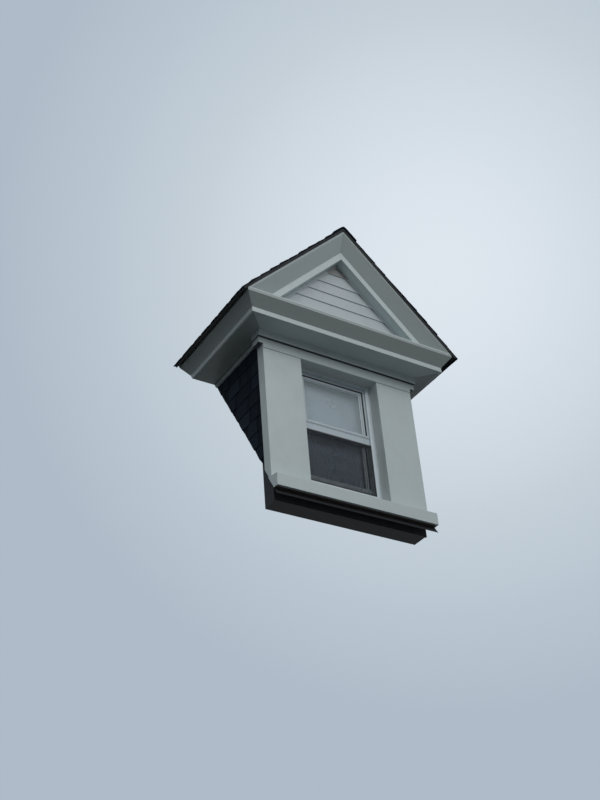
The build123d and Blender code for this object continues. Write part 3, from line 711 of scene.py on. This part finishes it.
laps = folded("tympanum_siding", 0.0012)
lap_vinyl = siding_vinyl("siding_vinyl", True)
make_piece("tympanum_siding_laps", laps, [lap_vinyl], "vinyl_siding", "tympanum_siding")
bm = bmesh.new()
for side in (-1, 1):
    peak = Matrix.Translation((0, siding_low.y - channel_gap, siding_high.z))
    along_rake = peak @ Matrix.Rotation(side * roof_pitch, 4, "Y")
    strip = along_rake @ Matrix.Translation((side * channel_middle, 0, -channel_lip / 2))
    strip = strip @ Matrix.Diagonal((channel_length, channel_thickness, channel_lip, 1))
    verts = bmesh.ops.create_cube(bm, size=1, matrix=strip)["verts"]
    joined = verts + list({edge for vert in verts for edge in vert.link_edges}) + faces_on(verts)
    bmesh.ops.bisect_plane(
        bm, geom=joined, dist=1e-6, plane_co=(0, 0, 0), plane_no=(-side, 0, 0), clear_outer=True
    )
bmesh.ops.holes_fill(bm, edges=[edge for edge in bm.edges if edge.is_boundary])
trim_off(bm, Vector((0, 0, siding_low.z)), Vector((0, 0, -1)))
make_piece("siding_channels", bm, [siding_vinyl("channel_vinyl", False)], "vinyl_siding")

# Window box: the old wooden box that lines the reveal round the window unit. Sawn boards, nailed
# into the rough opening and wrapped like the trim, with more grime on them.
box_enamel = enamelled_trim("box_enamel", rgb(192, 198, 198), 0.22)
make_piece("window_box_wrap", folded("window_box", 0.0015), [box_enamel], "painted_box", "window_box")

# Window unit: a replacement double-hung window in welded white vinyl, whose sections are mitred at
# the corners. One white vinyl is made in two copies: a lighter one on the frame as painted light and
# a darker one on the sashes as painted shade. Painted shade also darkens the groove along the
# meeting rail.
sash_front, sash_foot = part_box("upper_sash")[0].yz
groove_depth = 0.002
groove_height = 0.0635
groove_half = 0.0095


def window_vinyl(name, colour):
    """Smooth white vinyl with some dust, and painted shade in the groove over the meeting rail."""
    paint = Paint(name)
    cloud = paint.noise(paint.place, 8, 3)
    dust = paint.noise(paint.laid(paint.place, size=(0.03, 0.03, 0.2)), 1, 4, 0.6)
    vinyl = paint.mix(paint.fade(cloud, 0.3, 0.7, 0, 0.3), colour, rgb(189, 203, 211))
    vinyl = paint.mix(paint.fade(dust, 0.5, 0.72, 0, 0.25), vinyl, rgb(158, 164, 166))
    height = paint.part(paint.place, 2)
    # Painted shade in the groove along the meeting rail.
    middle = sash_foot + groove_height
    groove_shade = (height > middle - groove_half) * (height < middle + groove_half)
    groove_shade = groove_shade * (paint.part(paint.place, 1) > sash_front + groove_depth)
    vinyl = paint.mix(groove_shade * 0.3, vinyl, rgb(118, 128, 134))
    return paint.surface(vinyl, paint.fade(dust, 0.4, 0.7, 0.3, 0.42), cloud, 0.0006)


# The same white vinyl twice: darker on the sashes as painted shade, lighter on the frame as painted
# light.
shaded_sash_vinyl = window_vinyl("shaded_sash_vinyl", rgb(190, 204, 210))
lit_frame_vinyl = window_vinyl("lit_frame_vinyl", rgb(226, 238, 243))
for node, vinyl in (
    ("window_frame", lit_frame_vinyl),
    ("upper_sash", shaded_sash_vinyl),
    ("lower_sash", shaded_sash_vinyl),
):
    make_piece(node + "_vinyl", folded(node, 0.0009, 2), [vinyl], "window_vinyl", node)

# Glazing beads: the sloped lips round each pane on its outer side, mitred at the corners. They
# are the same vinyl as the sashes and snap into them once the pane is in.
bead_width = 0.011
bead_lap = bead_width * 0.2
bead_height = 0.0045
bead_foot = bead_height * 0.3
rebate = 0.008
bm = bmesh.new()
for pane in ("upper_glass", "lower_glass"):
    low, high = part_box(pane)
    centre = (low + high) / 2
    half_x = (high.x - low.x) / 2 - rebate + bead_lap
    half_z = (high.z - low.z) / 2 - rebate + bead_lap
    flat = Matrix.Translation((centre.x, low.y, centre.z)) @ Matrix.Rotation(pi / 2, 4, "X")
    flat = flat @ Matrix.Diagonal((half_x, half_z, 1, 1))
    sheet = bmesh.ops.create_grid(bm, x_segments=1, y_segments=1, size=1, matrix=flat)["verts"]
    face = sheet[0].link_faces[0]
    face.normal_update()
    ring = bmesh.ops.inset_region(
        bm, faces=[face], use_boundary=True, use_even_offset=True, thickness=bead_width, depth=0
    )["faces"]
    bmesh.ops.delete(bm, geom=[face], context="FACES_ONLY")
    for vert in extruded(bm, ring):
        inner = abs(vert.co.x - centre.x) < half_x - bead_width * 0.5
        inner = inner and abs(vert.co.z - centre.z) < half_z - bead_width * 0.5
        vert.co.y -= bead_foot if inner else bead_height
bmesh.ops.recalc_face_normals(bm, faces=bm.faces[:])
make_piece("glazing_beads", bm, [shaded_sash_vinyl], "window_vinyl")

# Sash gaskets: black rubber pressed into the seam that runs round the top and sides of each pane,
# with a lip that lies over the seam's edges. Its black is partly painted shade for the seam.
# Black for the rubber, and painted shade in the seam.
paint = Paint("gasket_and_seam_shade")
wear = paint.noise(paint.place, 40, 3)
seam_black = paint.ramp(wear, (0.35, rgb(6, 11, 15)), (0.7, rgb(16, 22, 27)))
gasket_and_seam_shade = paint.surface(seam_black, paint.fade(wear, 0.3, 0.7, 0.55, 0.7), wear, 0.0003)
seam_middle = 0.31
seam_width = 0.0165
seam_floor = 0.006
seam_over_pane = 0.0285
gasket_thickness = 0.0066
gasket_sink = 0.0002


def add_block(bm, centre, size):
    """A box of this size round a point."""
    block = Matrix.Translation(centre) @ Matrix.Diagonal((*size, 1))
    bmesh.ops.create_cube(bm, size=1, matrix=block)


bm = bmesh.new()
for sash, pane in (("upper_sash", "upper_glass"), ("lower_sash", "lower_glass")):
    low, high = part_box(pane)
    foot = low.z + rebate
    head = high.z - rebate + seam_over_pane
    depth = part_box(sash)[0].y + seam_floor + gasket_sink - gasket_thickness / 2
    leg = head - foot + seam_width / 2
    for x in (-seam_middle, seam_middle):
        add_block(bm, (x, depth, foot + leg / 2), (seam_width, gasket_thickness, leg))
    add_block(bm, (0, depth, head), (seam_middle * 2 - seam_width, gasket_thickness, seam_width))
make_piece("sash_gaskets", bm, [gasket_and_seam_shade], "screen_frame")

# Window panes: clear float glass with a thin pale film. On the upper one the film is partly dust and
# partly a painted reflection of the sky. The lower pane, behind the insect screen, keeps a greyer
# film that has run down in streaks.
for pane, tint, dust, streaked in (
    ("upper_glass", rgb(236, 240, 244), 0.33, 0.0),
    ("lower_glass", rgb(196, 203, 210), 0.01, 0.3),
):
    paint = Paint(pane + "_pane")
    film = paint.noise(paint.place, 3, 4, 0.6)
    rough = paint.fade(film, 0.4, 0.8, 0.0, 0.04)
    sockets = {"Base Color": tint, "Roughness": rough, "IOR": 1.5, "Transmission Weight": 1.0}
    glass = paint.node("ShaderNodeBsdfPrincipled", {}, sockets)
    # Pale diffuse share of the pane: dust, and on the upper pane a painted reflection of the sky.
    film_and_sky_sheen = paint.node("ShaderNodeBsdfDiffuse", {}, {"Color": rgb(183, 196, 197)})
    share = paint.fade(film, 0.3, 0.7, dust * 0.8, dust * 1.2)
    runs = paint.noise(paint.laid(paint.place, size=(0.05, 1, 0.22)), 1, 4, 0.6)
    low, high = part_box(pane)
    run_down = paint.fade(paint.part(paint.place, 2), low.z, high.z, 1, 0)
    share = share + paint.fade(runs, 0.44, 0.62) * run_down * streaked
    glass = paint.node("ShaderNodeMixShader", {}, {0: share, 1: glass, 2: film_and_sky_sheen})
    clear = paint.node("ShaderNodeBsdfTransparent", {}, {"Color": tint})
    shadow = paint.node("ShaderNodeLightPath", output="Is Shadow Ray")
    shader = paint.node("ShaderNodeMixShader", {}, {0: shadow, 1: glass, 2: clear})
    paint.node("ShaderNodeOutputMaterial", {}, {"Surface": shader})
    nodes[pane].material_slots[0].material = paint.material

# Insect screen: a thin roll-formed frame, painted charcoal, with charcoal mesh stretched over the
# lower half. The mesh is woven from fine coated yarn, one strand about every millimetre and a half.
paint = Paint("charcoal_paint")
dust = paint.noise(paint.laid(paint.place, size=(0.05, 0.05, 0.2)), 1, 4, 0.6)
coat = paint.ramp(dust, (0.4, rgb(24, 27, 30)), (0.75, rgb(44, 48, 51)))
charcoal = paint.surface(coat, paint.fade(dust, 0.4, 0.7, 0.42, 0.6), dust, 0.0003)
bars = folded("screen_frame", 0.0008, 2)
make_piece("screen_frame_bars", bars, [charcoal], "screen_frame", "screen_frame")
paint = Paint("screen_yarn")
fuzz = paint.noise(paint.place, 700, 2)
yarn = paint.ramp(fuzz, (0.3, rgb(16, 19, 23)), (0.7, rgb(34, 38, 43)))
screen_yarn = paint.surface(yarn, paint.fade(fuzz, 0.3, 0.7, 0.5, 0.7), fuzz, 0.0001)
yarn_pitch = 0.0015
yarn_width = 0.0003
crossing = 0.4
mesh_low, mesh_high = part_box("screen_mesh")
mesh_middle = (mesh_low + mesh_high) / 2
bm = bmesh.new()
for axis, other in ((0, 2), (2, 0)):
    count = int((mesh_high - mesh_low)[axis] / yarn_pitch)
    for strand in range(1, count):
        centre = mesh_middle.copy()
        centre[axis] = mesh_low[axis] + strand * yarn_pitch
        centre.y += yarn_width * (crossing if axis else -crossing)
        size = [yarn_width, yarn_width, yarn_width]
        size[other] = (mesh_high - mesh_low)[other]
        add_block(bm, centre, size)
make_piece("screen_yarns", bm, [screen_yarn], "screen_mesh", "screen_mesh")

# Blind: thin crowned aluminium slats on ladder strings, closed and hanging from a headrail. Each
# slat has painted shade along the edge that is tucked behind the one above.
slats_low, slats_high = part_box("blind_slats")
slat_pitch = 0.021
paint = Paint("blind_enamel")
cloud = paint.noise(paint.place, 6, 3)
dust = paint.noise(paint.laid(paint.place, size=(0.1, 0.02, 0.02)), 1, 3)
enamel = paint.mix(paint.fade(cloud, 0.3, 0.7, 0, 0.3), rgb(184, 190, 195), rgb(174, 180, 186))
enamel = paint.mix(paint.fade(dust, 0.5, 0.75, 0, 0.2), enamel, rgb(145, 147, 146))
# Painted shade on each slat where the one above overlaps it.
slat_overlap_shade = (slats_high.z - paint.part(paint.place, 2)) / slat_pitch
slat_overlap_shade = slat_overlap_shade.maths("FRACT", slat_overlap_shade)
enamel = paint.mix(paint.fade(slat_overlap_shade, 0, 0.3, 0.4, 0), enamel, rgb(84, 86, 86))
blind_enamel = paint.surface(enamel, paint.fade(dust, 0.4, 0.7, 0.38, 0.5), cloud, 0.0003)
rail_box = folded("blind_headrail", 0.0015)
make_piece("blind_headrail_box", rail_box, [blind_enamel], "blind", "blind_headrail")
slat_width = 0.025
slat_thickness = 0.0003
slat_tilt = radians(77)
slat_wobble = 1.5
slat_crown = 0.0012
slat_length = slats_high.x - slats_low.x
slat_drop = slats_high.z - slats_low.z
slat_middle = (slats_low.y + slats_high.y) / 2
bm = bmesh.new()
for number in range(int(slat_drop / slat_pitch)):
    height = slats_high.z - (number + 0.5) * slat_pitch
    tilt = slat_tilt + radians(rng.uniform(-slat_wobble, slat_wobble))
    sheet = bmesh.ops.create_grid(bm, x_segments=1, y_segments=5, size=0.5)["verts"]
    for vert in sheet:
        width = vert.co.y * slat_width
        crown = slat_crown * (1 - (2 * vert.co.y) ** 2)
        vert.co = (
            vert.co.x * slat_length,
            slat_middle + width * cos(tilt) - crown * sin(tilt),
            height + width * sin(tilt) + crown * cos(tilt),
        )
    bmesh.ops.translate(bm, verts=extruded(bm, faces_on(sheet)), vec=(0, -slat_thickness, 0))
rail_depth, rail_height = 0.009, 0.008
rail_centre = (0, slat_middle, slats_low.z + rail_height / 2)
add_block(bm, rail_centre, (slat_length, rail_depth, rail_height))
string_width, string_depth = 0.0012, 0.0008
string_spread = 0.27
for x in (-string_spread, 0, string_spread):
    string_centre = (x, slats_low.y + string_depth / 2, (slats_low.z + slats_high.z) / 2)
    add_block(bm, string_centre, (string_width, string_depth, slat_drop))
bmesh.ops.recalc_face_normals(bm, faces=bm.faces[:])
make_piece("blind_slats_closed", bm, [blind_enamel], "blind", "blind_slats")

# The view: a camera below and to the left of the dormer, a pale floor at the level of the ground
# under it and a pale surround like an overcast sky. Two broad soft lamps stand high in front, the
# stronger one a little to the right and a weak one to the left.
camera_place = Vector((-5.0663, -6.857, -4.6187))
camera_yaw = radians(34.504)
camera_pitch = radians(34.427)
camera_roll = radians(-4.88)
focal_pixels = 1218.5
image_height = 800
camera_data = bpy.data.cameras.new("camera")
camera_data.lens = focal_pixels * camera_data.sensor_width / image_height
camera = bpy.data.objects.new("camera", camera_data)
camera.matrix_world = (
    Matrix.Translation(camera_place)
    @ Matrix.Rotation(-camera_yaw, 4, "Z")
    @ Matrix.Rotation(pi / 2 + camera_pitch, 4, "X")
    @ Matrix.Rotation(camera_roll, 4, "Z")
)
bpy.context.scene.collection.objects.link(camera)
bpy.context.scene.camera = camera

eye_height = 1.6
floor_z = camera_place.z - eye_height
floor_radius = 60
roof_foot_on_floor = main_roof_foot.y + (floor_z - main_roof_foot.z) / tan(main_pitch)
shade_starts, shade_ends = roof_foot_on_floor - 1, roof_foot_on_floor + 2


def straight_rays(paint):
    """Whether a ray comes straight from the camera, a reflection or a pane."""
    straight = paint.node("ShaderNodeLightPath", output="Is Camera Ray")
    for kind in ("Is Glossy Ray", "Is Transmission Ray"):
        straight = straight.maths("MAXIMUM", straight, paint.node("ShaderNodeLightPath", output=kind))
    return straight


paint = Paint("pale_floor")
# Painted shadow: light that bounces sees the floor mid grey, darker past the main roof's foot.
main_roof_shadow = paint.fade(paint.part(paint.place, 1), shade_starts, shade_ends)
bounce = paint.mix(main_roof_shadow, rgb(104, 106, 106), rgb(52, 53, 54))
paint.surface(paint.mix(straight_rays(paint), bounce, rgb(205, 210, 213)), 0.9)
bm = bmesh.new()
level = Matrix.Translation((0, 0, floor_z))
bmesh.ops.create_circle(bm, cap_ends=True, radius=floor_radius, segments=96, matrix=level)
mesh = bpy.data.meshes.new("floor")
bm.to_mesh(mesh)
bm.free()
mesh.materials.append(paint.material)
floor = bpy.data.objects.new("floor", mesh)
bpy.context.scene.collection.objects.link(floor)

world = bpy.data.worlds.new("soft_surround")
bpy.context.scene.world = world
surround = Paint("soft_surround", world)
direction = surround.node("ShaderNodeTexCoord", output="Generated")
height = surround.part(direction, 2)
light = surround.ramp(
    surround.fade(height, -1, 1),
    (0.49, (0.05, 0.052, 0.055, 1)),
    (0.55, (0.12, 0.123, 0.128, 1)),
    (0.62, (0.26, 0.265, 0.275, 1)),
    (0.72, (0.62, 0.63, 0.65, 1)),
    (1.0, (0.8, 0.81, 0.83, 1)),
)
facing = surround.vector("DOT_PRODUCT", direction, main_roof_up, "Value")
light = surround.mix(surround.fade(facing, -0.35, 0.25, 0.55, 0), light, (0.0, 0.0, 0.0, 1))
bright_patch = Vector((0.5317, 0.558, 0.6372))
glow = surround.vector("DOT_PRODUCT", direction, bright_patch, "Value")
backdrop = surround.ramp(
    surround.fade(glow, 0.93, 1),
    (0.1, rgb(175, 187, 200)),
    (0.45, rgb(185, 197, 208)),
    (0.72, rgb(197, 208, 217)),
    (0.9, rgb(211, 221, 230)),
    (1.0, rgb(222, 230, 238)),
)
shown = surround.mix(straight_rays(surround), light, backdrop)
shown = surround.node("ShaderNodeBackground", {}, {"Color": shown, "Strength": 1.0})
surround.node("ShaderNodeOutputWorld", {}, {"Surface": shown})


def soft_lamp(name, place, target, width, height, watts):
    """A broad area lamp aimed at a point."""
    data = bpy.data.lights.new(name, "AREA")
    data.shape = "RECTANGLE"
    data.size = width
    data.size_y = height
    data.energy = watts
    lamp = bpy.data.objects.new(name, data)
    aim = (target - place).to_track_quat("-Z", "Y").to_matrix().to_4x4()
    lamp.matrix_world = Matrix.Translation(place) @ aim
    bpy.context.scene.collection.objects.link(lamp)


dormer_middle = Vector((0, 0, 1.4))
soft_lamp("front_lamp", Vector((1.7, -9, 6.3)), dormer_middle, 3.4, 6.5, 285)
soft_lamp("left_lamp", Vector((-7.2, -7.2, 6)), dormer_middle, 4, 4, 100)

bpy.context.scene.view_settings.view_transform = "Standard"
